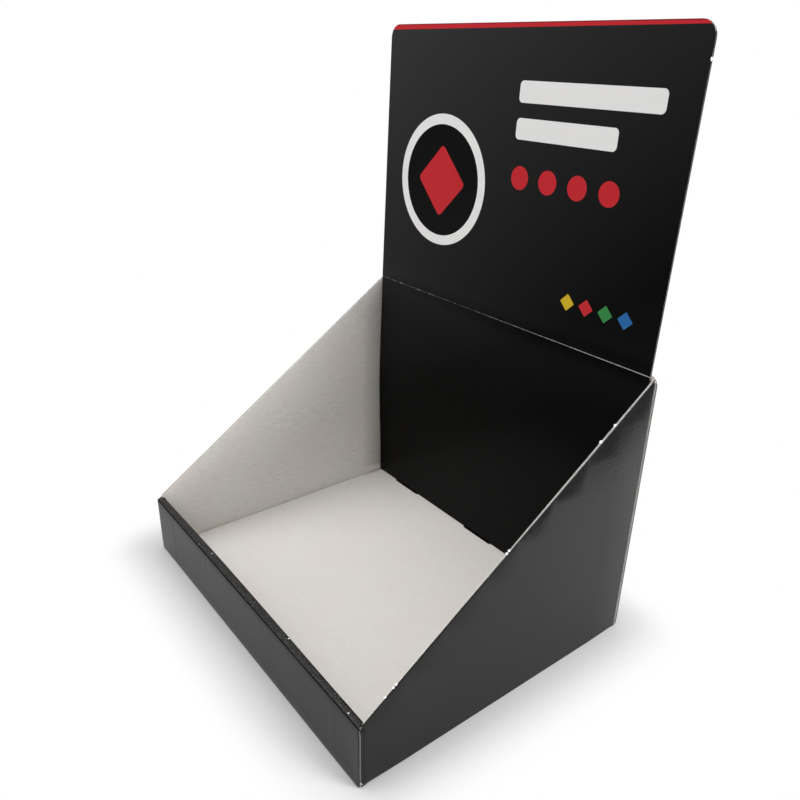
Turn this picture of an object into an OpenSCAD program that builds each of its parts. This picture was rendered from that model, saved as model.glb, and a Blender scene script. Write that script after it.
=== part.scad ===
// Counter display: a folded corrugated tray with sloping sides, and a header card tabbed into its base.
// +X is to the right, +Y to the back and +Z up. The origin is the middle of the tray's underside.

/* [Board] */
// Thickness of the corrugated board
board_t = 1.5; // [1.2:0.1:2]
// Inside radius of a fold
fold_r = 0.2; // [0.2:0.1:0.6]
// Space between two plies that lie on each other
ply_gap = 0.2; // [0.1:0.05:0.4]

/* [Tray] */
// Width over the side panels
tray_w = 270; // [240:1:320]
// Depth from the front face to the back face
tray_d = 216; // [180:1:260]
// Height of the double front wall
front_h = 44; // [30:1:70]
// Height of a side panel at its fold behind the front wall
side_front_h = 46.2; // [44:0.1:90]
// Height of a side panel and of the back wall at the rear
side_back_h = 186.3; // [120:0.1:240]
// Corner radius at the top of the back wall
back_corner_r = 6; // [2:0.5:15]
// Cut across the lower corners of the front and back walls
foot_cut = 0.8; // [0.5:0.1:2.5]

/* [Flaps] */
// Space between the front flaps and the inner ply that hangs behind them
inner_ply_gap = 1.2; // [0.2:0.1:2]
// Length of the flaps tucked into the front wall
front_flap_len = 27; // [15:1:80]
// Length of the flaps glued to the back wall
back_flap_len = 60; // [20:1:100]
// Distance that the back flaps stay below the top of the side panels
back_flap_drop = 3; // [1:0.5:20]
// Relief cut at the foot of each flap
flap_relief = 0.5; // [0.3:0.1:3]

/* [Header card] */
// Height of the crease above the back wall
crease_rise = 0.7; // [0.2:0.1:5]
// Length of the header above the crease
header_len = 189.4; // [100:0.1:260]
// Backward lean of the header, in degrees
header_lean = 2; // [0:0.5:12]
// Corner radius at the top of the header
header_corner_r = 9; // [3:0.5:20]
// Slack between the card and the flaps behind it
card_slack = 1; // [0.2:0.1:2]
// Clearance at each end of the card and of the front wall's inner ply
side_clear = 0.9; // [0.5:0.1:3]
// Width of the crease line pressed into the card
crease_w = 1.2; // [0.6:0.1:2]
// Depth of the crease line
crease_depth = 0.3; // [0.1:0.05:0.6]

/* [Tabs and slots] */
// Number of tabs along the card and along the front wall's inner ply
tab_count = 3; // [2:1:4]
// Width of a tab
tab_w = 30; // [15:1:45]
// Distance from the end of a ply to the middle of its first tab
tab_inset = 40; // [30:1:60]
// Length by which a slot is wider than its tab, at each end
slot_end_clear = 0.5; // [0.3:0.1:1.5]
// Opening of a slot in front of its tab
slot_front_clear = 1.2; // [0.3:0.1:2]
// Opening of a slot behind its tab
slot_back_clear = 0.3; // [0.2:0.1:1]
// Height of the tab ends above the underside
tab_end_h = 0.2; // [0.1:0.1:0.5]

/* [Hidden] */
$fn = 64;

// A fold's outside radius, and the space that a flap needs on the outer ply of its wall
fold_out_r = board_t + fold_r;
flap_y = board_t + ply_gap;
// Thickness of the front wall: outer ply, flap and inner ply
wall_t = 3 * board_t + ply_gap + inner_ply_gap;
// Reach of a side panel between its two vertical folds
side_y0 = flap_y + fold_out_r;
side_y1 = tray_d - side_y0;
// Height of the front flaps, below the strip
under_strip_h = front_h - board_t - ply_gap;
flap_z0 = fold_out_r + flap_relief;
// Plies that stand between the side panels, and the level that they stand on
inner_w = tray_w - 2 * (board_t + side_clear);
seat_z = board_t + ply_gap;
tab_pitch = (inner_w - 2 * tab_inset) / (tab_count - 1);
// Front faces of the front wall's inner ply and of the card, and the card's rear face and crease
front_ply_y = wall_t - board_t;
card_back_y = tray_d - 2 * board_t - ply_gap - card_slack;
card_front_y = card_back_y - board_t;
crease_h = side_back_h + crease_rise;

board_print = "#262525";
header_print = "#1c1b1b";
eps = 0.01;

// Places a profile drawn in depth and height, and stretches it over a width
module across(width) {
    rotate([90, 0, 90])
        linear_extrude(height = width, center = true)
            children();
}

// Places an outline drawn in depth and height on a wall that faces sideways
module sideways(x, thickness) {
    translate([x, 0, 0])
        rotate([90, 0, 90])
            linear_extrude(height = thickness)
                children();
}

// Section of a right-angled fold, from the direction given in degrees and a quarter turn on
module fold(centre, start) {
    translate(centre)
        rotate(start)
            intersection() {
                difference() {
                    circle(fold_out_r);
                    circle(fold_r);
                }
                square(fold_out_r);
            }
}

// Section of a flat panel between two corners
module panel(from, to) {
    translate(from)
        square(to - from);
}

// One copy of the child at the middle of each tab
module at_tabs() {
    for (i = [0 : tab_count - 1])
        translate([(i - (tab_count - 1) / 2) * tab_pitch, 0, 0])
            children();
}

// Tabs below a ply whose front face is given
module tabs(front_y) {
    at_tabs()
        translate([-tab_w / 2, front_y, tab_end_h])
            cube([tab_w, board_t, seat_z + eps - tab_end_h]);
}

// Slots in the base for the tabs of a ply whose front face is given
module slots(front_y, front_clear, back_clear) {
    slot_w = tab_w + 2 * slot_end_clear;
    at_tabs()
        translate([-slot_w / 2, front_y - front_clear, -eps])
            cube([slot_w, front_clear + board_t + back_clear, board_t + 2 * eps]);
}

// Base panel, with the slots that lock the inner front ply and the card
module base_panel() {
    difference() {
        across(tray_w - 2 * fold_out_r)
            panel([fold_out_r, 0], [tray_d - fold_out_r, board_t]);
        slots(front_ply_y, slot_back_clear, slot_front_clear);
        slots(card_front_y, slot_front_clear, slot_back_clear);
    }
}

// Cutters for the lower corners of a wall between two depths
module foot_cutters(from_y, to_y) {
    half_w = tray_w / 2;
    for (side = [0, 1])
        mirror([side, 0, 0])
            translate([0, to_y, 0])
                rotate([90, 0, 0])
                    linear_extrude(height = to_y - from_y)
                        polygon([[half_w - foot_cut, -eps], [half_w + eps, -eps], [half_w + eps, foot_cut]]);
}

// Outer ply of the front wall, folded up from the base
module front_outer_ply() {
    difference() {
        across(tray_w) {
            fold([fold_out_r, fold_out_r], 180);
            panel([0, fold_out_r], [board_t, front_h - fold_out_r]);
        }
        foot_cutters(-eps, fold_out_r);
    }
}

// Narrow strip along the top of the front wall, with its two folds and its slanted ends
module front_strip() {
    half_w = tray_w / 2;
    half_inner = inner_w / 2;
    low = front_h - fold_out_r;
    intersection() {
        across(tray_w) {
            fold([fold_out_r, low], 90);
            panel([fold_out_r, front_h - board_t], [wall_t - fold_out_r, front_h]);
            fold([wall_t - fold_out_r, low], 0);
        }
        translate([0, 0, low])
            linear_extrude(height = fold_out_r + eps)
                polygon([
                    [-half_w, 0], [half_w, 0], [half_w, board_t],
                    [half_inner, front_ply_y], [half_inner, wall_t],
                    [-half_inner, wall_t], [-half_inner, front_ply_y], [-half_w, board_t]
                ]);
    }
}

// Inner ply of the front wall, which hangs from the strip and locks into the base
module front_inner_ply() {
    across(inner_w)
        panel([front_ply_y, seat_z], [wall_t, front_h - fold_out_r]);
    tabs(front_ply_y);
}

// Back wall, folded up from the base, with rounded top corners
module back_wall() {
    difference() {
        union() {
            across(tray_w)
                fold([tray_d - fold_out_r, fold_out_r], 270);
            translate([0, tray_d, 0])
                rotate([90, 0, 0])
                    linear_extrude(height = board_t)
                        rounded_top(tray_w, fold_out_r, side_back_h, back_corner_r);
        }
        foot_cutters(tray_d - fold_out_r, tray_d + eps);
    }
}

// Outline of an upright panel whose two top corners are rounded
module rounded_top(width, low, high, r) {
    translate([-width / 2, low])
        square([width, high - r - low]);
    translate([r - width / 2, low])
        square([width - 2 * r, high - low]);
    for (side = [-1, 1])
        translate([side * (width / 2 - r), high - r])
            circle(r);
}

// Right side panel, folded up from the base, with its two flaps
module side_panel() {
    fold_x = tray_w / 2 - fold_out_r;
    panel_x = tray_w / 2 - board_t;
    fold_inset = fold_out_r + ply_gap;
    translate([0, tray_d - fold_inset, 0])
        rotate([90, 0, 0])
            linear_extrude(height = tray_d - 2 * fold_inset)
                fold([fold_x, fold_out_r], 270);
    sideways(panel_x, board_t)
        polygon([
            [side_y0, fold_out_r], [side_y1, fold_out_r],
            [side_y1, side_back_h], [side_y0, side_front_h]
        ]);
    flap([fold_x, side_y0], 270, flap_y, front_flap_len, under_strip_h);
    flap([fold_x, side_y1], 0, tray_d - flap_y - board_t, back_flap_len, side_back_h - back_flap_drop);
}

// Flap of a side panel: its vertical fold, and the leaf that lies along the front or back wall
module flap(fold_centre, fold_start, leaf_y, leaf_len, top_z) {
    translate([0, 0, flap_z0])
        linear_extrude(height = top_z - flap_z0) {
            fold(fold_centre, fold_start);
            translate([fold_centre[0] - leaf_len, leaf_y])
                square([leaf_len, board_t]);
        }
}

// The tray, folded from one blank
module tray() {
    color(board_print)
        translate([0, -tray_d / 2, 0]) {
            base_panel();
            front_outer_ply();
            front_strip();
            front_inner_ply();
            back_wall();
            side_panel();
            mirror([1, 0, 0])
                side_panel();
        }
}

// Section of the card: upright below the crease, leaning back above it
module card_section() {
    up = [sin(header_lean), cos(header_lean)];
    back = [cos(header_lean), -sin(header_lean)];
    crease = [card_front_y, crease_h];
    rear_drop = board_t * tan(header_lean / 2);
    polygon([
        [card_front_y, seat_z],
        [card_front_y, crease_h - crease_w / 2],
        crease + crease_depth * [1, 0],
        crease + crease_w / 2 * up,
        crease + header_len * up,
        crease + header_len * up + board_t * back,
        [card_back_y, crease_h - rear_drop],
        [card_back_y, seat_z]
    ]);
}

// Cutter that rounds the header's top right corner, in the plane of the header
module header_corner_cutter() {
    translate([0, card_front_y, crease_h])
        rotate([-header_lean, 0, 0])
            translate([inner_w / 2 - header_corner_r, board_t + eps, header_len - header_corner_r])
                rotate([90, 0, 0])
                    linear_extrude(height = board_t + 2 * eps)
                        difference() {
                            square(header_corner_r + eps);
                            circle(header_corner_r);
                        }
}

// The header card: the tray's back lining and the header above it, cut from one sheet
module header_card() {
    color(header_print)
        translate([0, -tray_d / 2, 0]) {
            difference() {
                across(inner_w)
                    card_section();
                header_corner_cutter();
                mirror([1, 0, 0])
                    header_corner_cutter();
            }
            tabs(card_front_y);
        }
}

tray();
header_card();
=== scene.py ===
import math

import bpy
import numpy as np
from mathutils import Matrix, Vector
from mathutils.geometry import delaunay_2d_cdt


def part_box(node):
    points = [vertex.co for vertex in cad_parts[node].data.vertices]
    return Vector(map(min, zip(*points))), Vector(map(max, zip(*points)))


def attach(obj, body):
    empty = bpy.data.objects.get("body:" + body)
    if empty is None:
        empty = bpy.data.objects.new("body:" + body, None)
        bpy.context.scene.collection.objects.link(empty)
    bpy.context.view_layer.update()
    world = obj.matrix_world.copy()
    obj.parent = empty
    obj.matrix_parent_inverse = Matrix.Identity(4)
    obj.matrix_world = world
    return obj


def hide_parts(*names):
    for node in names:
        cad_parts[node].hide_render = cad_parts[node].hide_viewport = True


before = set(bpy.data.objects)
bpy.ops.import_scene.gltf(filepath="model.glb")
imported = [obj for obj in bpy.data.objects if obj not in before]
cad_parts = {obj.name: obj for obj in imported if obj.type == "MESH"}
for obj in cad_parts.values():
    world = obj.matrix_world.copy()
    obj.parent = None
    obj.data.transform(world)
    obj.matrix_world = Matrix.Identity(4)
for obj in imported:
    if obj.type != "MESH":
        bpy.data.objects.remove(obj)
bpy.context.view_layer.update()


# Tray
# One sheet of E-flute board, flood-printed black and varnished on its outer face, grey-white inside.
# It is die-cut, creased and folded up: the front wall rolls over and locks into slots in the base,
# with the front flaps tucked inside it, and the back flaps are glued to the back wall.
mm = 0.001

# The board, its folds with the depth at which they keep their length, and the spaces between its plies
board = 1.5
fold_out = 1.2
flap_fold = 1.7
fold_pinch = 0.45
pinch_reach = 0.75
unstretched = 0.4
fold_run = math.pi / 2 * (fold_out - unstretched)
flap_run = math.pi / 2 * (flap_fold - unstretched)
ply_gap = 0.2
inner_ply_gap = 1.2
flap_gap = 0.8

# The papers of the board, the ripple that the fluting leaves in them, and edges crushed by the die
flute_pitch = 3.5
print_ripple = 0.008
liner_ripple = 0.08
liner = 0.18
crushed_print = 0.4
crushed_liner = 0.6
crush_w = 1.3
margin_w = 5.0
core_recess = 0.3
open_flute = 0.9

# The tray's panels, flaps, tabs and slots
tray_low, tray_high = (np.array(corner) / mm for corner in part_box("tray"))
tray_w, tray_d, back_h = tray_high - tray_low
half_w = tray_w / 2
front_h = 44.0
side_front_h = 46.2
back_corner_r = 6.0
foot_cut = 0.8
foot_rise = 0.2
front_flap = 27.0
back_flap = 60.0
back_flap_drop = 3.0
flap_relief = 0.5
side_clear = 0.9
half_inner = half_w - board - side_clear
seat_h = board + ply_gap
tab_end_h = 0.2
tab_w = 30.0
tab_inset = 40.0
tab_centres = (tab_inset - half_inner, 0.0, half_inner - tab_inset)
slot_w = tab_w + 1.0
slot_wide = 1.2
slot_tight = 0.3
card_slack = 1.0

front_wall = 3 * board + ply_gap + inner_ply_gap
side_front = board + flap_gap + flap_fold
side_back = tray_d - board - ply_gap - flap_fold
under_strip_h = front_h - board - ply_gap
card_back = tray_d - 2 * board - ply_gap - card_slack
card_front = card_back - board

# Lines of the flat blank, seen from its inside: u runs across from the middle, v back from the front face.
# Past the last line it is a side panel or a flap.
base_u = half_w - fold_out
base_v0 = fold_out
base_v1 = tray_d - fold_out
front_ply_v = base_v0 - fold_run
front_top_v = front_ply_v - (front_h - 2 * fold_out)
strip_v0 = front_top_v - fold_run
strip_v1 = strip_v0 - (front_wall - 2 * fold_out)
inner_ply_v = strip_v1 - fold_run
inner_foot_v = inner_ply_v - (front_h - fold_out - seat_h)
back_top_v = base_v1 + fold_run + back_h - fold_out
wing_u = half_w + 0.3


def side_u(height):
    """Distance from the blank's middle of a point of a side panel at this height."""
    return base_u + fold_run + height - fold_out


def tabbed_edge(half, edge_v, tab_end_v):
    """Edge of a ply from left to right, with its tabs."""
    points = [(-half, edge_v)]
    for centre in tab_centres:
        left, right = centre - tab_w / 2, centre + tab_w / 2
        points += [(left, edge_v), (left, tab_end_v), (right, tab_end_v), (right, edge_v)]
    return points + [(half, edge_v)]


def quarter(centre_u, centre_v, r, steps=8):
    """Round corner of an outline, from facing right to facing back."""
    angles = np.linspace(0, math.pi / 2, steps + 1)
    return [(centre_u + r * math.cos(a), centre_v + r * math.sin(a)) for a in angles]


slope_front = 3.4
slope = (back_h - side_front_h) / (tray_d - 2 * slope_front)


def slope_h(y):
    """Height of a side panel's sloping edge at this distance from the front."""
    return side_front_h + slope * (y - slope_front)


def side_edge(strip_end, nose):
    """Right-hand edge of the blank from the strip's end to the back wall's top corner."""
    return strip_end + [
        (half_w, front_ply_v - foot_cut),
        (base_u, base_v0),
        (side_u(fold_out + foot_rise), base_v0 + ply_gap),
        (side_u(fold_out + foot_rise), side_front),
        (side_u(fold_out + flap_relief), side_front),
        (side_u(fold_out + flap_relief), side_front - flap_run - front_flap),
        (side_u(under_strip_h), side_front - flap_run - front_flap),
        (side_u(under_strip_h), side_front - nose),
        (side_u(slope_h(side_front - nose)), side_front - nose),
        (side_u(back_h), side_back),
        (side_u(back_h - back_flap_drop), side_back),
        (side_u(back_h - back_flap_drop), side_back + flap_run + back_flap),
        (side_u(fold_out + flap_relief), side_back + flap_run + back_flap),
        (side_u(fold_out + flap_relief), side_back),
        (side_u(fold_out + foot_rise), side_back),
        (side_u(fold_out + foot_rise), base_v1 - ply_gap),
        (base_u, base_v1),
        (half_w, base_v1 + fold_run + foot_cut),
    ] + quarter(half_w - back_corner_r, back_top_v - back_corner_r, back_corner_r)


# The strip's right end is slanted, and its left end lies across the end of the side panel.
# The right panel's slope runs on round its front fold.
end_ease = 0.25
lip = 2.5
lip_slant = 0.3
lip_corner = 0.7
right_nose = 0.75 * flap_run
slanted_end = [(half_inner, strip_v1 - end_ease), (half_w, strip_v0 + end_ease)]
square_end = [
    (half_inner, strip_v1), (half_inner, strip_v0 - lip - lip_slant),
    (half_w - lip_corner, strip_v0 - lip), (half_w, strip_v0 + lip_slant),
]
left_edge = [(-u, v) for u, v in reversed(side_edge(square_end, 0.0))]
front_edge = tabbed_edge(half_inner, inner_foot_v, inner_foot_v - (seat_h - tab_end_h))
tray_outline = front_edge + side_edge(slanted_end, right_nose) + left_edge


def slot_row(front_v, front_clear, back_clear):
    """Slots in the base for the tabs of a ply, as low and high corners."""
    return [
        ((c - slot_w / 2, front_v - front_clear), (c + slot_w / 2, front_v + board + back_clear))
        for c in tab_centres
    ]


tray_slots = slot_row(front_wall - board, slot_tight, slot_wide) + slot_row(card_front, slot_wide, slot_tight)


def folded(way, panels, depth, radius, run):
    """How far out and how high points of a strip of board lie, and how sharply the strip bends there.
    It is folded inwards by a quarter turn after each panel length. Depth counts from the print."""
    out, up, heading, bend = (np.zeros_like(way) for _ in range(4))
    start = 0.0
    for panel in panels:
        step = np.clip(way - start, 0, panel)
        out += step * np.cos(heading)
        up += step * np.sin(heading)
        start += panel
        share = (way - start) / run
        bend = np.maximum(bend, 1 - np.abs(share - 0.5) / pinch_reach)
        turned = heading + np.clip(share, 0, 1) * math.pi / 2
        out += radius * (np.sin(turned) - np.sin(heading))
        up += radius * (np.cos(heading) - np.cos(turned))
        start += run
        heading = turned
    rest = np.maximum(way - start, 0)
    depth = depth * (1 - fold_pinch * np.sqrt(bend))
    out += rest * np.cos(heading) - depth * np.sin(heading)
    up += rest * np.sin(heading) + depth * np.cos(heading)
    return out, up, bend


# Where the board has given: the front wall is a little hollow, with a faint dent, and the strip lies askew
# and bowed, with its left end lifted
front_hollow = 0.12
hollow_edge = 2.6
front_dent = 0.1
dent_u = -48.0
dent_w = 0.9
roll_skew = 0.8
skew_fade = 0.6
roll_bow = 0.7
bow_middle = -40.0
bow_half_wave = 190.0
end_lift = 1.8
lift_u = -129.0
lift_run = 5.0
tilt_run = 3.0


def fold_tray(u, v, depth):
    """Places points of the blank, at this depth under the print, on the folded tray, with their bend."""
    side = np.sign(u)
    past = np.abs(u) - base_u
    wing = np.abs(u) > wing_u
    out, up, bend = folded(past, [0], depth, fold_out, fold_run)
    place = np.stack([np.where(past > 0, side * (base_u + out), u), v, up], 1)
    plies = [0, front_ply_v - front_top_v, strip_v0 - strip_v1]
    walls = [
        (~wing & (v < base_v0), base_v0 - v, plies, lambda o: base_v0 - o),
        (~wing & (v > base_v1), v - base_v1, [0], lambda o: base_v1 + o),
    ]
    for chosen, way, panels, lay in walls:
        out, up, bend[chosen] = folded(way[chosen], panels, depth[chosen], fold_out, fold_run)
        place[chosen] = np.stack([u[chosen], lay(out), up], 1)
    flaps = [
        (wing & (v < side_front), side_front - v, lambda o: side_front - o),
        (wing & (v > side_back), v - side_back, lambda o: side_back + o),
    ]
    for chosen, way, lay in flaps:
        out, inwards, bend[chosen] = folded(way[chosen], [0], depth[chosen], flap_fold, flap_run)
        height = past[chosen] - fold_run + fold_out
        place[chosen] = np.stack([side[chosen] * (half_w - inwards), lay(out), height], 1)
    rise = np.clip((front_ply_v - v) / (front_ply_v - front_top_v), 0, 1)
    past_flap = np.clip((half_w - front_flap - np.abs(u)) / hollow_edge, 0, 1)
    place[:, 1] += front_hollow * past_flap * np.sin(math.pi * rise) ** 0.5 * ~wing
    on_front = ~wing & (v > strip_v0) & (v < base_v0)
    dent = np.exp(-((u - dent_u) / dent_w) ** 2) * np.clip(4 * rise - 2, 0, 1) * on_front
    place[:, 1] += front_dent * dent * np.clip((v - strip_v0) / fold_run, 0, 1)
    roll = np.clip((strip_v0 - v) / (strip_v0 - strip_v1), 0, 1)
    hang = np.clip((inner_ply_v - v) / (inner_ply_v - inner_foot_v), 0, 1)
    place[:, 0] -= roll_skew * roll * (1 - skew_fade * hang)
    place[:, 1] += roll_bow * np.cos(math.pi * (u - bow_middle) / bow_half_wave) * roll * (1 - hang)
    tilt = np.clip((strip_v0 + fold_run / 2 - v) / tilt_run, 0, 1) * (1 - hang)
    place[:, 2] += end_lift * tilt * np.clip((lift_u - u) / lift_run, 0, 1) ** 2
    return place - [0, tray_d / 2, 0], bend


def spread(*stops):
    """Grid lines through pairs of a place and the number of steps to the next place."""
    lines = [np.linspace(a, b, n + 1)[:-1] for (a, n), (b, _) in zip(stops, stops[1:])]
    return np.unique(np.round(np.append(np.concatenate(lines), stops[-1][0]), 5))


def inside(points, outline):
    """Which points lie inside an outline, and how far each lies from its edge."""
    start = np.array(outline)
    end = np.roll(start, -1, 0)
    hits = np.zeros(len(points), int)
    away = np.full(len(points), np.inf)
    for a, b in zip(start, end):
        run = b - a
        share = np.clip((points - a) @ run / max(run @ run, 1e-12), 0, 1)
        away = np.minimum(away, np.linalg.norm(points - a - share[:, None] * run, axis=1))
        if run[1]:
            spans = (a[1] > points[:, 1]) != (b[1] > points[:, 1])
            hits += spans & (points[:, 0] < a[0] + (points[:, 1] - a[1]) / run[1] * run[0])
    return hits % 2 == 1, away


# Least distances between the points of a sheet's mesh, and the longest reach of a corner's mitre
least_step = 0.05
slot_gap = 0.12
grid_gap = 0.2
mitre_limit = 0.7


def cut_at_lines(outline, columns, rows):
    """The outline with a point wherever it crosses a grid line."""
    points = []
    for a, b in zip(np.array(outline), np.roll(np.array(outline), -1, 0)):
        shares = [0.0]
        for axis, lines in enumerate((columns, rows)):
            if abs(b[axis] - a[axis]) > 1e-6:
                shares += list((lines - a[axis]) / (b[axis] - a[axis]))
        length = np.linalg.norm(b - a)
        last = -1.0
        for share in sorted(shares):
            if 0 <= share < 1 - least_step / length and share - last > least_step / length:
                points.append(a + share * (b - a))
                last = share
    return points


def sheet_of_board(name, outline, slots, columns, rows, lay, materials, seen, pressed):
    """A die-cut sheet of board as one closed mesh: print, liner and a cut edge with a recessed core.
    The die crushes the board towards its edges. Also gives the path of the fluting in the edges seen."""
    slot_outlines = [[(a[0], a[1]), (b[0], a[1]), (b[0], b[1]), (a[0], b[1])] for a, b in slots]
    points, rims = [], []
    for loop in [outline] + slot_outlines:
        ring = cut_at_lines(loop, columns, rows)
        first = len(points)
        points += ring
        rims += [(first + i, first + (i + 1) % len(ring)) for i in range(len(ring))]
    grid = np.stack(np.meshgrid(columns, rows), -1).reshape(-1, 2)
    kept, away = inside(grid, outline)
    grid = grid[kept & (away > crush_w + grid_gap)]
    ring = np.array(cut_at_lines(outline, columns, rows))
    run = np.roll(ring, -1, 0) - ring
    left = np.stack([-run[:, 1], run[:, 0]], 1) / np.linalg.norm(run, axis=1)[:, None]
    mitre = left + np.roll(left, 1, 0)
    mitre /= np.maximum((mitre ** 2).sum(1) / 2, mitre_limit)[:, None]
    for width in (0.35 * crush_w, crush_w):
        inner = ring + width * mitre
        kept, away = inside(inner, outline)
        grid = np.concatenate([grid, inner[kept & (away > 0.95 * width)]])
    for loop in slot_outlines:
        within, away = inside(grid, loop)
        grid = grid[~within & (away > slot_gap)]
    points = [tuple(p) for p in points] + [tuple(p) for p in grid]
    flat, _, faces, _, _, _ = delaunay_2d_cdt(points, rims, [], 1, 1e-5)
    flat, faces = np.array(flat), np.array(faces)
    middle = flat[faces].mean(1)
    keep, _ = inside(middle, outline)
    for loop in slot_outlines:
        keep &= ~inside(middle, loop)[0]
    faces = faces[keep]

    halves = np.concatenate([faces[:, [0, 1]], faces[:, [1, 2]], faces[:, [2, 0]]])
    _, place, count = np.unique(np.sort(halves, 1), axis=0, return_inverse=True, return_counts=True)
    edge = halves[count[place.reshape(-1)] == 1]
    run = flat[edge[:, 1]] - flat[edge[:, 0]]
    left = np.stack([-run[:, 1], run[:, 0]], 1) / np.linalg.norm(run, axis=1)[:, None]
    inwards = np.zeros_like(flat)
    np.add.at(inwards, edge[:, 0], left)
    np.add.at(inwards, edge[:, 1], left)
    size = np.linalg.norm(inwards, axis=1)
    rim = np.unique(edge)
    inwards[rim] /= np.maximum(size[rim] ** 2 / 2, mitre_limit)[:, None]

    wave = np.cos(2 * math.pi * flat[:, 0] / flute_pitch)
    away = inside(flat, outline)[1]
    crush = np.clip(1 - away / crush_w, 0, 1) ** 2 * pressed(*flat.T)
    top = print_ripple * (0.5 - wave / 2) + crushed_print * crush
    uneven = 0.65 + 0.35 * np.sin(0.9 * flat[:, 0] + 3 * np.sin(0.11 * flat[:, 1] + 0.37 * flat[:, 0]))
    bottom = board - liner_ripple * uneven * (0.5 + wave / 2) - crushed_liner * crush
    sheets = [(flat, top), (flat, bottom)]
    core_top, core_bottom = top[rim] + liner, bottom[rim] - liner
    along = np.abs(inwards[rim][:, 0]) / np.linalg.norm(inwards[rim], axis=1)
    deep = (core_recess + open_flute * along ** 8)[:, None]
    for depth, recess in ((core_top, 0), (core_top, deep), (core_bottom, deep), (core_bottom, 0)):
        sheets.append((flat[rim] + recess * inwards[rim], depth))
    laid = [lay(*spots.T, depth) for spots, depth in sheets]
    order = np.zeros(len(flat), int)
    order[rim] = np.arange(len(rim))
    count = len(flat)
    starts = [2 * count + k * len(rim) for k in range(4)]
    a, b = edge.T
    loops = [(a, b)] + [(s + order[a], s + order[b]) for s in starts] + [(count + a, count + b)]
    quads = [np.stack([la, lb, hb, ha], 1) for (la, lb), (ha, hb) in zip(loops, loops[1:])]
    polygons = faces[:, ::-1].tolist() + (faces + count).tolist() + np.concatenate(quads).tolist()
    mesh = bpy.data.meshes.new(name)
    mesh.from_pydata((np.concatenate([spot for spot, _ in laid]) * mm).tolist(), [], polygons)
    kinds = np.repeat([0, 1, 2, 3, 2], [len(faces), len(faces), len(edge), 3 * len(edge), len(edge)])
    # Cut edges that run along the flutes are drawn wholly in the fluting paper, whose dark grey is partly
    # painted shade
    open_cut = np.abs(left[:, 0]) > 0.95
    kinds[2 * len(faces):2 * len(faces) + len(edge)] += open_cut
    kinds[-len(edge):] += open_cut
    mesh.polygons.foreach_set("material_index", kinds.astype(np.int32))
    mesh.shade_smooth()
    mesh.set_sharp_from_angle(angle=math.radians(40))
    bends = np.concatenate([bend for _, bend in laid]).astype(np.float32)
    mesh.attributes.new("fold", "FLOAT", "POINT")
    mesh.attributes["fold"].data.foreach_set("value", bends)
    margin = np.clip(1 - away / margin_w, 0, 1)
    margins = np.concatenate([margin, margin, np.ones(4 * len(rim))]).astype(np.float32)
    mesh.attributes.new("margin", "FLOAT", "POINT")
    mesh.attributes["margin"].data.foreach_set("value", margins)
    corners = np.zeros(len(mesh.loops), np.int32)
    mesh.loops.foreach_get("vertex_index", corners)
    mesh.uv_layers.new(name="Blank")
    coordinates = (np.concatenate([spots for spots, _ in sheets])[corners] * mm).astype(np.float32)
    mesh.uv_layers["Blank"].data.foreach_set("uv", coordinates.reshape(-1))
    for material in materials:
        mesh.materials.append(material)
    sheet = bpy.data.objects.new(name, mesh)
    bpy.context.scene.collection.objects.link(sheet)

    spots = flat[rim] + core_recess / 2 * inwards[rim]
    depth = (core_top + core_bottom) / 2
    here = lay(*spots.T, depth)[0]
    across = lay(*spots.T, depth + 0.1)[0] - here
    across /= np.linalg.norm(across, axis=1)[:, None]
    shown = seen(*flat[rim].T)
    joins = np.stack([order[a], order[b]], 1)[shown[order[a]] & shown[order[b]]]
    mesh = bpy.data.meshes.new(name + "_cut")
    mesh.from_pydata((here * mm).tolist(), joins.tolist(), [])
    mesh.attributes.new("across", "FLOAT_VECTOR", "POINT")
    mesh.attributes["across"].data.foreach_set("vector", across.astype(np.float32).reshape(-1))
    mesh.attributes.new("phase", "FLOAT", "POINT")
    phase = 2 * math.pi / flute_pitch * flat[rim][:, 0]
    mesh.attributes["phase"].data.foreach_set("value", phase.astype(np.float32))
    cut = bpy.data.objects.new(name + "_cut", mesh)
    return sheet, cut


def linear(colour):
    """Linear RGBA of an sRGB hex colour."""
    parts = [int(colour[i:i + 2], 16) / 255 for i in (1, 3, 5)]
    return (*[p / 12.92 if p <= 0.04045 else ((p + 0.055) / 1.055) ** 2.4 for p in parts], 1.0)


def add_node(tree, kind, inputs=None, **settings):
    """Adds a node with its settings, and sets or links its inputs."""
    made = tree.nodes.new(kind)
    for name, value in settings.items():
        setattr(made, name, value)
    for name, value in (inputs or {}).items():
        if isinstance(value, bpy.types.NodeSocket):
            tree.links.new(value, made.inputs[name])
        else:
            made.inputs[name].default_value = value
    return made


def new_material(name):
    """An empty material with its node tree and shader."""
    material = bpy.data.materials.new(name)
    material.use_nodes = True
    return material, material.node_tree, material.node_tree.nodes["Principled BSDF"]


# Offset-printed black with a satin varnish: a little mottled and wavy, and rubbed and wrinkled on the strip.
# Its grain is drawn coarser than it is, so that it shows.
tray_print, tree, shader = new_material("varnished_black_offset_print")
blank = add_node(tree, "ShaderNodeUVMap", uv_map="Blank").outputs[0]
mottle = add_node(tree, "ShaderNodeTexNoise",
                  {"Vector": blank, "Scale": 1 / (5 * mm), "Detail": 3}).outputs[0]
ink = add_node(tree, "ShaderNodeMix", {0: mottle, 6: linear("#0a0909"), 7: linear("#131212")},
               data_type="RGBA")
grain = add_node(tree, "ShaderNodeTexNoise",
                 {"Vector": blank, "Scale": 1 / (1.1 * mm), "Detail": 2}).outputs[0]
cloud = add_node(tree, "ShaderNodeTexNoise",
                 {"Vector": blank, "Scale": 1 / (30 * mm), "Detail": 2}).outputs[0]
gloss = add_node(tree, "ShaderNodeMapRange", {0: cloud, 1: 0.3, 2: 0.7, 3: 0.18, 4: 0.23}).outputs[0]
across = add_node(tree, "ShaderNodeSeparateXYZ", {0: blank}).outputs["Y"]
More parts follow.
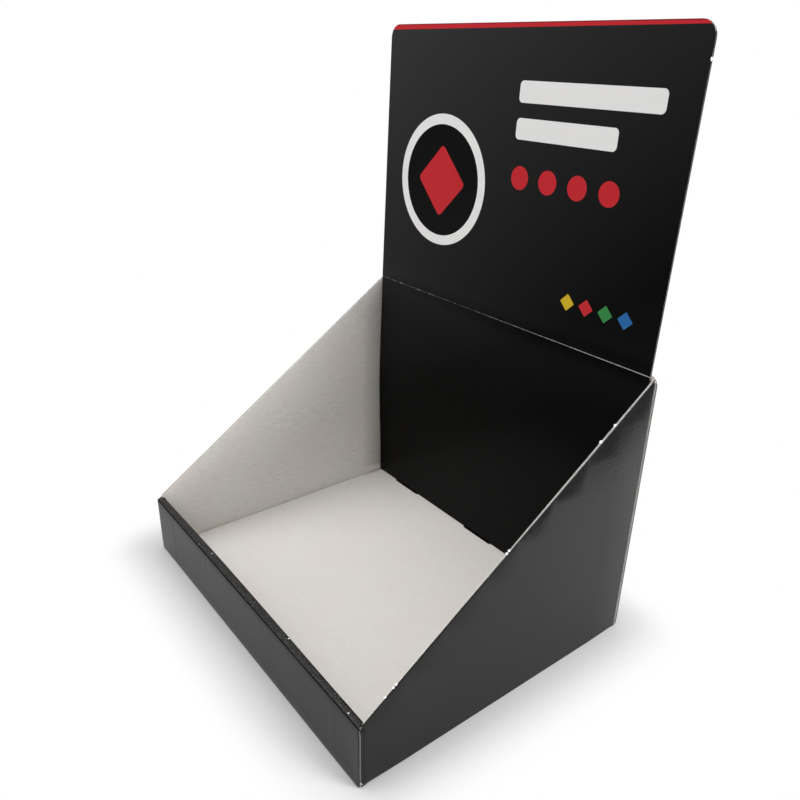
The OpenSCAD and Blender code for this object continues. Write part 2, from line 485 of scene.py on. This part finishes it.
strip_mid, strip_half = (strip_v0 + strip_v1) / 2 * mm, (strip_v0 - strip_v1) / 2 * mm
off = add_node(tree, "ShaderNodeMath", {0: across, 1: strip_mid}, operation="SUBTRACT").outputs[0]
off = add_node(tree, "ShaderNodeMath", {0: off}, operation="ABSOLUTE").outputs[0]
strip = add_node(tree, "ShaderNodeMapRange",
                 {0: off, 1: strip_half, 2: strip_half + fold_run / 2 * mm, 3: 1.0, 4: 0.0})
rubbed = add_node(tree, "ShaderNodeMapRange", {0: grain, 1: 0.52, 2: 0.7, 3: 0.0, 4: 0.4}).outputs[0]
rubbed = add_node(tree, "ShaderNodeMath", {0: rubbed, 1: strip.outputs[0]}, operation="MULTIPLY").outputs[0]
ink = add_node(tree, "ShaderNodeMix", {0: rubbed, 6: ink.outputs[2], 7: linear("#8a8785")}, data_type="RGBA")
tree.links.new(ink.outputs[2], shader.inputs["Base Color"])
matt = add_node(tree, "ShaderNodeMix", {0: strip.outputs[0], 2: gloss, 3: 0.38}, data_type="FLOAT").outputs[0]
tree.links.new(matt, shader.inputs["Roughness"])
sheen = add_node(tree, "ShaderNodeMix", {0: strip.outputs[0], 2: 0.22, 3: 0.4}, data_type="FLOAT").outputs[0]
tree.links.new(sheen, shader.inputs["Specular IOR Level"])
peel = add_node(tree, "ShaderNodeBump", {"Strength": 0.25, "Distance": 0.02 * mm, "Height": grain})
drawn = add_node(tree, "ShaderNodeVectorMath", {0: blank, 1: (1.0, 0.8, 1.0)}, operation="MULTIPLY")
waves = add_node(tree, "ShaderNodeTexNoise",
                 {"Vector": drawn.outputs[0], "Scale": 1 / (2.8 * mm), "Detail": 2})
waves = add_node(tree, "ShaderNodeBump",
                 {"Strength": 1.0, "Distance": 0.07 * mm, "Height": waves.outputs[0],
                  "Normal": peel.outputs[0]})
wrinkle = add_node(tree, "ShaderNodeMath", {0: grain, 1: strip.outputs[0]}, operation="MULTIPLY").outputs[0]
wrinkle = add_node(tree, "ShaderNodeBump",
                   {"Strength": 1.0, "Distance": 0.3 * mm, "Height": wrinkle, "Normal": waves.outputs[0]})
tree.links.new(wrinkle.outputs[0], shader.inputs["Normal"])

# White-lined liner paper: short pale and dark fibres and faint warm clouds, with painted shade that darkens
# it in the folds. On the side panels the fibre streaks are drawn stronger than elsewhere, as painted shade of
# the washboard ribs. The fibres are drawn coarser than they are, so that they show.
inside_liner, tree, shader = new_material("grey_white_liner_paper")
blank = add_node(tree, "ShaderNodeUVMap", uv_map="Blank").outputs[0]
bend = add_node(tree, "ShaderNodeAttribute", attribute_name="fold").outputs["Fac"]
fibre = add_node(tree, "ShaderNodeTexNoise",
                 {"Vector": blank, "Scale": 1 / (1.3 * mm), "Detail": 4}).outputs[0]
tone = add_node(tree, "ShaderNodeMapRange", {0: fibre, 1: 0.3, 2: 0.7, 3: 0.0, 4: 1.0}).outputs[0]
paper = add_node(tree, "ShaderNodeMix", {0: tone, 6: linear("#e2dfdc"), 7: linear("#ebe9e6")},
                 data_type="RGBA")
drawn = add_node(tree, "ShaderNodeVectorMath", {0: blank, 1: (1.0, 0.2, 1.0)}, operation="MULTIPLY")
dash = add_node(tree, "ShaderNodeTexNoise",
                {"Vector": drawn.outputs[0], "Scale": 1 / (1.7 * mm), "Detail": 2}).outputs[0]
edge = add_node(tree, "ShaderNodeAttribute", attribute_name="margin").outputs["Fac"]
edge = add_node(tree, "ShaderNodeMath", {0: edge, 1: dash}, operation="MULTIPLY").outputs[0]
patch = add_node(tree, "ShaderNodeTexNoise",
                 {"Vector": blank, "Scale": 1 / (25 * mm), "Detail": 1}).outputs[0]
patch = add_node(tree, "ShaderNodeMapRange", {0: patch, 1: 0.35, 2: 0.65, 3: 0.1, 4: 0.36}).outputs[0]
# Painted shade of the washboard ribs: the streaks are drawn about three times stronger on the side panels
# than on the base and the front and back walls, and this also sets the strength of their bump
outer = add_node(tree, "ShaderNodeSeparateXYZ", {0: blank}).outputs["X"]
outer = add_node(tree, "ShaderNodeMath", {0: outer}, operation="ABSOLUTE").outputs[0]
wall = add_node(tree, "ShaderNodeMapRange", {0: outer, 1: base_u * mm, 2: half_w * mm, 3: 0.3, 4: 1.0})
patch = add_node(tree, "ShaderNodeMath", {0: patch, 1: wall.outputs[0]}, operation="MULTIPLY").outputs[0]
streak = add_node(tree, "ShaderNodeMath", {0: dash, 1: 0.5}, operation="SUBTRACT").outputs[0]
streak = add_node(tree, "ShaderNodeMath", {0: streak, 1: patch, 2: 1.0}, operation="MULTIPLY_ADD").outputs[0]
streak = add_node(tree, "ShaderNodeMath", {0: edge, 1: 0.08, 2: streak}, operation="MULTIPLY_ADD").outputs[0]
paper = add_node(tree, "ShaderNodeVectorMath", {0: paper.outputs[2], "Scale": streak}, operation="SCALE")
cloud = add_node(tree, "ShaderNodeTexNoise",
                 {"Vector": blank, "Scale": 1 / (40 * mm), "Detail": 2}).outputs[0]
warm = add_node(tree, "ShaderNodeMapRange", {0: cloud, 1: 0.4, 2: 0.6, 3: 0.0, 4: 1.0}).outputs[0]
tint = add_node(tree, "ShaderNodeMix", {0: warm, 6: linear("#fdfdfb"), 7: linear("#fffbf9")},
                data_type="RGBA")
paper = add_node(tree, "ShaderNodeMix", {0: 1.0, 6: paper.outputs[0], 7: tint.outputs[2]},
                 data_type="RGBA", blend_type="MULTIPLY")
# Painted shade in the folds: where the board bends, the paper is darkened towards #3f3b37
painted_crease_shade = add_node(tree, "ShaderNodeMapRange", {0: bend, 1: 0.05, 2: 0.7, 3: 0.0, 4: 0.9}).outputs[0]
paper = add_node(tree, "ShaderNodeMix", {0: painted_crease_shade, 6: paper.outputs[2], 7: linear("#3f3b37")},
                 data_type="RGBA")
tree.links.new(paper.outputs[2], shader.inputs["Base Color"])
shader.inputs["Roughness"].default_value = 0.85
shader.inputs["Specular IOR Level"].default_value = 0.2
fuzz = add_node(tree, "ShaderNodeBump", {"Strength": 0.3, "Distance": 0.04 * mm, "Height": fibre})
fuzz = add_node(tree, "ShaderNodeBump",
                {"Strength": patch, "Distance": 0.4 * mm, "Height": dash, "Normal": fuzz.outputs[0]})
tree.links.new(fuzz.outputs[0], shader.inputs["Normal"])

# Cut edges of the two outer papers: bare white fibre, a little uneven
cut_edge, tree, shader = new_material("cut_liner_edge")
spot = add_node(tree, "ShaderNodeTexCoord").outputs["Object"]
fibre = add_node(tree, "ShaderNodeTexNoise",
                 {"Vector": spot, "Scale": 1 / (1.4 * mm), "Detail": 3}).outputs[0]
tone = add_node(tree, "ShaderNodeMapRange", {0: fibre, 1: 0.35, 2: 0.65, 3: 0.0, 4: 1.0}).outputs[0]
paper = add_node(tree, "ShaderNodeMix", {0: tone, 6: linear("#d5d1cb"), 7: linear("#f6f4f1")},
                 data_type="RGBA")
tree.links.new(paper.outputs[2], shader.inputs["Base Color"])
shader.inputs["Roughness"].default_value = 0.9
shader.inputs["Specular IOR Level"].default_value = 0.1

# Torn fibre: the white pulp of the outer paper
torn_paper, tree, shader = new_material("torn_white_paper")
shader.inputs["Base Color"].default_value = linear("#fcfbf9")
shader.inputs["Roughness"].default_value = 0.95
shader.inputs["Specular IOR Level"].default_value = 0.05

# Fluting between the outer papers: recycled grey paper, drawn darker than it is as painted shade for the
# recessed flutes and for the cut edges that run along the flutes
core_paper_and_shade, tree, shader = new_material("recycled_fluting_paper")
shader.inputs["Base Color"].default_value = linear("#686663")
shader.inputs["Roughness"].default_value = 0.95
shader.inputs["Specular IOR Level"].default_value = 0.05

fold_steps = 6
fold_edge = 0.3
tray_columns = np.arange(-round(side_u(back_h)) - 1, round(side_u(back_h)) + 1, flute_pitch / 4)
fold_half = fold_run / 2 + fold_edge + least_step
tray_columns = tray_columns[np.abs(np.abs(tray_columns) - base_u - fold_run / 2) > fold_half]
fold_columns = spread(
    (base_u - fold_edge, 1), (base_u, fold_steps), (base_u + fold_run, 1), (base_u + fold_run + fold_edge, 1),
)
tray_columns = np.sort(np.concatenate([tray_columns, fold_columns, -fold_columns]))
tray_rows = spread(
    (inner_foot_v - 2, 3), (inner_ply_v, fold_steps), (strip_v1, 1), (strip_v0, fold_steps), (front_top_v, 8),
    (front_ply_v, fold_steps), (base_v0, fold_steps), (side_front, 8), (side_back, fold_steps),
    (base_v1, fold_steps), (base_v1 + fold_run, 6), (back_top_v, 1), (side_back + flap_run + back_flap, 1),
)


def tray_edge_seen(u, v):
    """Which points of the tray's cut edges can be seen once it is folded."""
    across = np.abs(u)
    touch = 0.01
    near = 0.1
    hidden_foot = 5.0
    panel = (across > half_w + hidden_foot) & (v > side_front - flap_run / 2) & (v < side_back + touch)
    corner = (across > half_inner - near) & (across < half_w + near)
    front = corner & (v > inner_ply_v) & (v < base_v0 + touch)
    back = (across < half_w + near) & (v > base_v1)
    return panel | front | back


def tray_edge_pressed(u, v):
    """How far the die has crushed the tray's edges: less on the back wall and on the left side."""
    return np.where(v > base_v1, 0.3, np.where(u < -half_w, 0.55, 1.0))


tray, tray_cut = sheet_of_board(
    "tray_board", tray_outline, tray_slots, tray_columns, tray_rows, fold_tray,
    [tray_print, inside_liner, cut_edge, core_paper_and_shade], tray_edge_seen, tray_edge_pressed,
)

# Fluting: the wavy paper that shows in the cut edges, bent along each edge in the board's own rhythm
flutes = bpy.data.node_groups.new("fluting", "GeometryNodeTree")
flutes.interface.new_socket("Geometry", in_out="OUTPUT", socket_type="NodeSocketGeometry")
for name, kind in (
    ("Geometry", "Geometry"), ("Cut edge", "Object"), ("Step", "Float"), ("Wave", "Float"),
    ("Paper", "Float"), ("Reach", "Float"), ("Material", "Material"),
):
    flutes.interface.new_socket(name, in_out="INPUT", socket_type="NodeSocket" + kind)
given = add_node(flutes, "NodeGroupInput").outputs
across = add_node(flutes, "GeometryNodeInputNamedAttribute", {"Name": "across"}, data_type="FLOAT_VECTOR")
phase = add_node(flutes, "GeometryNodeInputNamedAttribute", {"Name": "phase"}, data_type="FLOAT")
edge_path = add_node(flutes, "GeometryNodeObjectInfo", {"Object": given["Cut edge"]})
curve = add_node(flutes, "GeometryNodeMeshToCurve", {"Mesh": edge_path.outputs["Geometry"]})
curve = add_node(flutes, "GeometryNodeResampleCurve", {"Curve": curve.outputs[0], "Length": given["Step"]},
                 mode="LENGTH")
swing = add_node(flutes, "ShaderNodeMath", {0: phase.outputs[0]}, operation="COSINE")
swing = add_node(flutes, "ShaderNodeMath", {0: swing.outputs[0], 1: given["Wave"]}, operation="MULTIPLY")
shift = add_node(flutes, "ShaderNodeVectorMath", {0: across.outputs[0], "Scale": swing.outputs[0]},
                 operation="SCALE")
curve = add_node(flutes, "GeometryNodeSetPosition",
                 {"Geometry": curve.outputs[0], "Offset": shift.outputs[0]})
curve = add_node(flutes, "GeometryNodeSetCurveNormal",
                 {"Curve": curve.outputs[0], "Normal": across.outputs[0]}, mode="FREE")
section = add_node(flutes, "GeometryNodeCurvePrimitiveQuadrilateral",
                   {"Width": given["Paper"], "Height": given["Reach"]}, mode="RECTANGLE")
paper = add_node(flutes, "GeometryNodeCurveToMesh",
                 {"Curve": curve.outputs[0], "Profile Curve": section.outputs[0], "Fill Caps": True})
paper = add_node(flutes, "GeometryNodeSetMaterial",
                 {"Geometry": paper.outputs[0], "Material": given["Material"]})
joined = add_node(flutes, "GeometryNodeJoinGeometry", {"Geometry": given["Geometry"]})
flutes.links.new(paper.outputs[0], joined.inputs[0])
solid = add_node(flutes, "GeometryNodeRealizeInstances", {"Geometry": joined.outputs[0]})
add_node(flutes, "NodeGroupOutput", {"Geometry": solid.outputs[0]})

# Torn fibre: small tufts of white paper where the print has broken along an edge or a fold
fibres = bpy.data.node_groups.new("torn_fibre", "GeometryNodeTree")
fibres.interface.new_socket("Geometry", in_out="OUTPUT", socket_type="NodeSocketGeometry")
for name, kind in (
    ("Geometry", "Geometry"), ("Places", "Object"), ("Unevenness", "Float"), ("Seed", "Float"),
    ("Material", "Material"),
):
    fibres.interface.new_socket(name, in_out="INPUT", socket_type="NodeSocket" + kind)
given = add_node(fibres, "NodeGroupInput").outputs
places = add_node(fibres, "GeometryNodeObjectInfo", {"Object": given["Places"]})
dots = add_node(fibres, "GeometryNodeMeshToPoints", {"Mesh": places.outputs["Geometry"]})
size = add_node(fibres, "GeometryNodeInputNamedAttribute", {"Name": "size"}, data_type="FLOAT_VECTOR")
ball = add_node(fibres, "GeometryNodeMeshIcoSphere", {"Radius": 1.0, "Subdivisions": 3})
tufts = add_node(fibres, "GeometryNodeInstanceOnPoints",
                 {"Points": dots.outputs[0], "Instance": ball.outputs[0], "Scale": size.outputs[0]})
tufts = add_node(fibres, "GeometryNodeRealizeInstances", {"Geometry": tufts.outputs[0]})
rough = add_node(fibres, "ShaderNodeTexNoise", {"W": given["Seed"], "Scale": 1 / (0.6 * mm), "Detail": 2},
                 noise_dimensions="4D")
rough = add_node(fibres, "ShaderNodeVectorMath", {0: rough.outputs["Color"], 1: (0.5, 0.5, 0.5)},
                 operation="SUBTRACT")
rough = add_node(fibres, "ShaderNodeVectorMath", {0: rough.outputs[0], "Scale": given["Unevenness"]},
                 operation="SCALE")
tufts = add_node(fibres, "GeometryNodeSetPosition",
                 {"Geometry": tufts.outputs[0], "Offset": rough.outputs[0]})
tufts = add_node(fibres, "GeometryNodeSetMaterial",
                 {"Geometry": tufts.outputs[0], "Material": given["Material"]})
joined = add_node(fibres, "GeometryNodeJoinGeometry", {"Geometry": given["Geometry"]})
fibres.links.new(tufts.outputs[0], joined.inputs[0])
solid = add_node(fibres, "GeometryNodeRealizeInstances", {"Geometry": joined.outputs[0]})
add_node(fibres, "NodeGroupOutput", {"Geometry": solid.outputs[0]})


def tuft_places(name, tufts):
    """Points for torn fibre, each with its place and its half sizes."""
    mesh = bpy.data.meshes.new(name)
    mesh.from_pydata([tuple(c * mm for c in place) for place, _ in tufts], [], [])
    mesh.attributes.new("size", "FLOAT_VECTOR", "POINT")
    mesh.attributes["size"].data.foreach_set("vector", [c * mm for _, size in tufts for c in size])
    return bpy.data.objects.new(name, mesh)


def dress(sheet, tree, **values):
    """Runs a node tree on a sheet with these inputs, and keeps the result as a plain mesh."""
    modifier = sheet.modifiers.new(tree.name, "NODES")
    modifier.node_group = tree
    for socket in tree.interface.items_tree:
        if socket.in_out == "INPUT" and socket.name in values:
            modifier[socket.identifier] = values[socket.name]
    plain = bpy.data.meshes.new_from_object(sheet.evaluated_get(bpy.context.evaluated_depsgraph_get()))
    sheet.modifiers.remove(modifier)
    plain.name = sheet.name
    sheet.data = plain


flute_sizes = {
    "Step": flute_pitch / 8 * mm, "Wave": 0.12 * mm, "Paper": 0.12 * mm, "Reach": (core_recess - 0.05) * mm,
    "Material": core_paper_and_shade,
}

# Nicks along the right slope, by distance from the front and size, and specks on the strip, by place and size
slope_nicks = ((180.5, 0.7), (169.4, 0.9), (100.7, 0.6), (98.9, 0.6), (24.0, 0.65), (22.2, 0.6), (17.0, 0.5))
strip_specks = ((-46.7, 4.1, 0.48), (56.0, 4.7, 0.48), (122.7, 1.9, 0.48), (-62.1, 1.6, 0.24))
crushed_middle = half_w - 0.85
tray_tufts = tuft_places("tray_tufts", [
    ((crushed_middle, y - tray_d / 2, slope_h(y) + 0.05), (0.7, 1.2 * r, r)) for y, r in slope_nicks
] + [((x, y - tray_d / 2, front_h + 0.02), (r, r, 0.15)) for x, y, r in strip_specks])
dress(tray, flutes, **{"Cut edge": tray_cut}, **flute_sizes)
dress(tray, fibres, Places=tray_tufts, Unevenness=0.35 * mm, Seed=3.0, Material=torn_paper)
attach(tray, "root")
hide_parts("tray")


# Header card
# One sheet of the same board, printed on the side that faces the shopper. Its lower half lines the back of
# the tray and locks into the base with three tabs. It is creased at the top of the back wall.
crease_rise = 0.7
crease_h = back_h + crease_rise
crease_w = 1.2
crease_depth = 0.3
header_len = 189.4
header_lean = math.radians(2)
header_corner_r = 9.0
lining_bow = 2.0
seen_below_crease = 20.0


def fold_card(u, v, depth):
    """Places points of the card's blank, whose v is the height along the card, and tells how they bend."""
    bend = np.clip(1 - np.abs(v - crease_h) / (crease_w / 2), 0, 1)
    depth = depth + crease_depth * bend * (depth < board / 2)
    over = np.maximum(v - crease_h, 0)
    rise = np.clip((v - seat_h) / (crease_h - seat_h), 0, 1)
    bow = lining_bow * np.sin(math.pi * rise) ** 2 * (1 + u / half_inner) / 2
    y = card_front - tray_d / 2 + np.where(
        over > 0, over * math.sin(header_lean) + depth * math.cos(header_lean), depth - bow
    )
    z = np.where(over > 0, crease_h + over * math.cos(header_lean) - depth * math.sin(header_lean), v)
    return np.stack([-u, y, z], 1), bend


card_top = crease_h + header_len
corner = quarter(half_inner - header_corner_r, card_top - header_corner_r, header_corner_r)
card_outline = (
    tabbed_edge(half_inner, seat_h, tab_end_h) + corner + [(-u, v) for u, v in reversed(corner)]
)

# Printed black with a soft film over it, with a painted sheen that makes the black paler to the upper left,
# and with plain shapes in white, red and four small colours. The ink is cracked along the crease.
header_print, tree, shader = new_material("laminated_header_print")
blank = add_node(tree, "ShaderNodeUVMap", uv_map="Blank").outputs[0]
bend = add_node(tree, "ShaderNodeAttribute", attribute_name="fold").outputs["Fac"]
# Painted sheen: the black ink runs from #050505 at the lower right to #3a3939 at the upper left
painted_sheen = add_node(tree, "ShaderNodeVectorMath", {0: blank, 1: (0.55, 0.83, 0.0)}, operation="DOT_PRODUCT")
painted_sheen = add_node(tree, "ShaderNodeMapRange",
                 {0: painted_sheen.outputs["Value"], 1: 130 * mm, 2: 380 * mm, 3: 0.0, 4: 1.0})
ink = add_node(tree, "ShaderNodeMix", {0: painted_sheen.outputs[0], 6: linear("#050505"), 7: linear("#3a3939")},
               data_type="RGBA").outputs[2]
white, red, yellow, green, blue = "#fbfaf9", "#cf3138", "#e0bd2c", "#3d8f4e", "#2f6fb0"

# Each shape's place across the card and above the crease, half sizes, corner radius, turn and colour
shapes = [
    ((0, 188.0), (145, 1.5), 0.2, -0.26, red),
    ((0, 189.2), (145, 0.4), 0.2, 0, "#8c2029"),
    ((-66, 86), (46, 46), 46, 0, white),
    ((-66, 86), (39, 39), 39, 0, "#121111"),
    ((-66, 86), (18, 18), 3, 45, red),
    ((58, 150), (54, 6.5), 3, 0, white),
    ((44, 128), (40, 6.5), 3, 0, white),
]
shapes += [((x, 98), (7.5, 7.5), 7.5, 0, red) for x in (11.5, 35.5, 59.5, 83.5)]
shapes += [((x, 28), (4, 4), 0.6, 45, c) for x, c in ((64, yellow), (79, red), (94, green), (109, blue))]
for (x, h), half, r, turn, colour in shapes:
    place = add_node(tree, "ShaderNodeMapping", {
        "Vector": blank, "Location": (-x * mm, (crease_h + h) * mm, 0),
        "Rotation": (0, 0, math.radians(turn)),
    }, vector_type="TEXTURE")
    place = add_node(tree, "ShaderNodeVectorMath", {0: place.outputs[0]}, operation="ABSOLUTE")
    straight = ((half[0] - r) * mm, (half[1] - r) * mm, 0)
    place = add_node(tree, "ShaderNodeVectorMath", {0: place.outputs[0], 1: straight}, operation="SUBTRACT")
    place = add_node(tree, "ShaderNodeVectorMath", {0: place.outputs[0], 1: (0, 0, 0)}, operation="MAXIMUM")
    place = add_node(tree, "ShaderNodeVectorMath", {0: place.outputs[0]}, operation="LENGTH")
    within = add_node(tree, "ShaderNodeMath", {0: place.outputs["Value"], 1: r * mm}, operation="LESS_THAN")
    ink = add_node(tree, "ShaderNodeMix", {0: within.outputs[0], 6: ink, 7: linear(colour)},
                   data_type="RGBA").outputs[2]
grain = add_node(tree, "ShaderNodeTexNoise",
                 {"Vector": blank, "Scale": 1 / (1.2 * mm), "Detail": 3}).outputs[0]
crack = add_node(tree, "ShaderNodeMath", {0: bend, 1: grain}, operation="MULTIPLY").outputs[0]
along = add_node(tree, "ShaderNodeSeparateXYZ", {0: blank}).outputs["X"]
worn = add_node(tree, "ShaderNodeMapRange", {0: along, 1: -half_inner * mm, 2: 20 * mm, 3: 1.3, 4: 0.78})
crack = add_node(tree, "ShaderNodeMath", {0: crack, 1: worn.outputs[0]}, operation="MULTIPLY").outputs[0]
crack = add_node(tree, "ShaderNodeMapRange", {0: crack, 1: 0.3, 2: 0.47, 3: 0.0, 4: 0.95}).outputs[0]
ink = add_node(tree, "ShaderNodeMix", {0: crack, 6: ink, 7: linear("#c9c8c6")}, data_type="RGBA")
tree.links.new(ink.outputs[2], shader.inputs["Base Color"])
shader.inputs["Roughness"].default_value = 0.27
shader.inputs["Specular IOR Level"].default_value = 0.065
peel = add_node(tree, "ShaderNodeBump", {"Strength": 0.2, "Distance": 0.02 * mm, "Height": grain})
tree.links.new(peel.outputs[0], shader.inputs["Normal"])

card_columns = np.arange(-round(half_inner) - 1, round(half_inner) + 1, flute_pitch / 4)
card_rows = spread(
    (seat_h, 16), (crease_h - crease_w / 2, 4), (crease_h + crease_w / 2, 12),
    (card_top - header_corner_r, 4), (card_top, 1),
)


def card_edge_seen(u, v):
    """Which points of the card's cut edges show above the tray."""
    return v > crease_h - seen_below_crease


def card_edge_pressed(u, v):
    """How far the die has crushed the card's edges: only a little."""
    return np.full_like(u, 0.2)


card, card_cut = sheet_of_board(
    "header_board", card_outline, [], card_columns, card_rows, fold_card,
    [header_print, inside_liner, cut_edge, core_paper_and_shade], card_edge_seen, card_edge_pressed,
)

# Tufts where the crease has cracked, and one high on the right edge
crease_y = card_front - tray_d / 2
crease_cracks = (-106.8, -84.7, -71.0, 75.1, 110.3)
edge_tuft_y = crease_y + 6.2
edge_tuft_h = 358.0
card_tufts = tuft_places("card_tufts", [
    ((x, crease_y + 0.15, crease_h), (0.45, 0.12, 0.3)) for x in crease_cracks
] + [((half_inner - 0.1, edge_tuft_y, edge_tuft_h), (0.45, 0.5, 1.1))])
dress(card, flutes, **{"Cut edge": card_cut}, **flute_sizes)
dress(card, fibres, Places=card_tufts, Unevenness=0.25 * mm, Seed=7.0, Material=torn_paper)
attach(card, "root")
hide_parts("header_card")


# Studio
# A pale table top in a white room, under a wide soft box. A weaker box stands at the front right, and a low
# one at the right rear brings out the table beside the display, which the side panel mirrors.
table_x = (-1.5, 0.287)
table_y = (-1.5, 1.2)
fade_w = 45 * mm
floor_material, tree, shader = new_material("pale_table_top")
shader.inputs["Base Color"].default_value = linear("#d8d8d8")
shader.inputs["Roughness"].default_value = 0.8
shader.inputs["Specular IOR Level"].default_value = 0.0

# For the camera, the table top fades to white away from the display
spot = add_node(tree, "ShaderNodeTexCoord").outputs["Object"]
away = add_node(tree, "ShaderNodeVectorMath", {0: spot}, operation="ABSOLUTE")
away = add_node(tree, "ShaderNodeVectorMath", {0: away.outputs[0], 1: (half_w * mm, tray_d / 2 * mm, 0)},
                operation="SUBTRACT")
away = add_node(tree, "ShaderNodeVectorMath", {0: away.outputs[0], 1: (0, 0, 0)}, operation="MAXIMUM")
away = add_node(tree, "ShaderNodeVectorMath", {0: away.outputs[0]}, operation="LENGTH")
far = add_node(tree, "ShaderNodeMapRange", {0: away.outputs["Value"], 1: 0.0, 2: fade_w, 3: 0.0, 4: 1.0},
               interpolation_type="SMOOTHSTEP")
direct = add_node(tree, "ShaderNodeLightPath").outputs["Is Camera Ray"]
share = add_node(tree, "ShaderNodeMath", {0: direct, 1: far.outputs[0]}, operation="MULTIPLY")
backdrop = add_node(tree, "ShaderNodeEmission", {"Color": (1, 1, 1, 1), "Strength": 1.0})
mixed = add_node(tree, "ShaderNodeMixShader",
                 {0: share.outputs[0], 1: shader.outputs[0], 2: backdrop.outputs[0]})
tree.links.new(mixed.outputs[0], tree.nodes["Material Output"].inputs["Surface"])
floor_mesh = bpy.data.meshes.new("floor")
floor_corners = [(table_x[i], table_y[j], 0) for i, j in ((0, 0), (1, 0), (1, 1), (0, 1))]
floor_mesh.from_pydata(floor_corners, [], [(0, 1, 2, 3)])
floor_mesh.materials.append(floor_material)
floor = bpy.data.objects.new("floor", floor_mesh)
bpy.context.scene.collection.objects.link(floor)

# The room is dim as a light and in reflections, and white where the camera sees it
world = bpy.data.worlds.new("white_room")
world.use_nodes = True
bpy.context.scene.world = world
tree = world.node_tree
room = tree.nodes["Background"]
room.inputs["Color"].default_value = (1, 1, 1, 1)
heading = add_node(tree, "ShaderNodeTexCoord").outputs["Generated"]
height = add_node(tree, "ShaderNodeSeparateXYZ", {0: heading}).outputs["Z"]
glow = add_node(tree, "ShaderNodeMapRange", {0: height, 1: -0.1, 2: 0.1, 3: 0.2, 4: 0.34})
tree.links.new(glow.outputs[0], room.inputs["Strength"])
seen = add_node(tree, "ShaderNodeBackground", {"Color": (1, 1, 1, 1), "Strength": 1.0})
direct = add_node(tree, "ShaderNodeLightPath").outputs["Is Camera Ray"]
mixed = add_node(tree, "ShaderNodeMixShader", {0: direct, 1: room.outputs[0], 2: seen.outputs[0]})
tree.links.new(mixed.outputs[0], tree.nodes["World Output"].inputs["Surface"])

for name, place, wide, watts in (
    ("key_soft_box", (-0.3, -0.3, 1.5), 1.2, 16.5),
    ("fill_soft_box", (1.2, -0.7, 0.8), 0.8, 3.0),
    ("low_soft_box", (0.75, 0.28, 0.2), 0.4, 9.0),
):
    soft_box = bpy.data.lights.new(name, "AREA")
    soft_box.shape = "SQUARE"
    soft_box.size = wide
    soft_box.energy = watts
    lamp = bpy.data.objects.new(name, soft_box)
    lamp.location = place
    lamp.rotation_euler = (-lamp.location).to_track_quat("-Z", "Y").to_euler()
    bpy.context.scene.collection.objects.link(lamp)


# Camera
# It stands to the right in front of the display, a little below the header's top, as the photograph's did.
picture_px = 800
focal_px = 757.518
eye = (0.36576, -0.26715, 0.35843)
right = (0.61001, 0.79214, 0.01987)
up = (-0.34244, 0.24093, 0.90812)
backward = (0.71458, -0.56077, 0.41823)
camera_data = bpy.data.cameras.new("camera")
camera_data.sensor_width = 36
camera_data.lens = camera_data.sensor_width * focal_px / picture_px
camera_data.clip_start = 0.01
camera = bpy.data.objects.new("camera", camera_data)
camera.matrix_world = Matrix([[*axis, 0] for axis in zip(right, up, backward)] + [[0, 0, 0, 1]])
camera.location = eye
bpy.context.scene.collection.objects.link(camera)
bpy.context.scene.camera = camera
bpy.context.scene.view_settings.view_transform = "Standard"
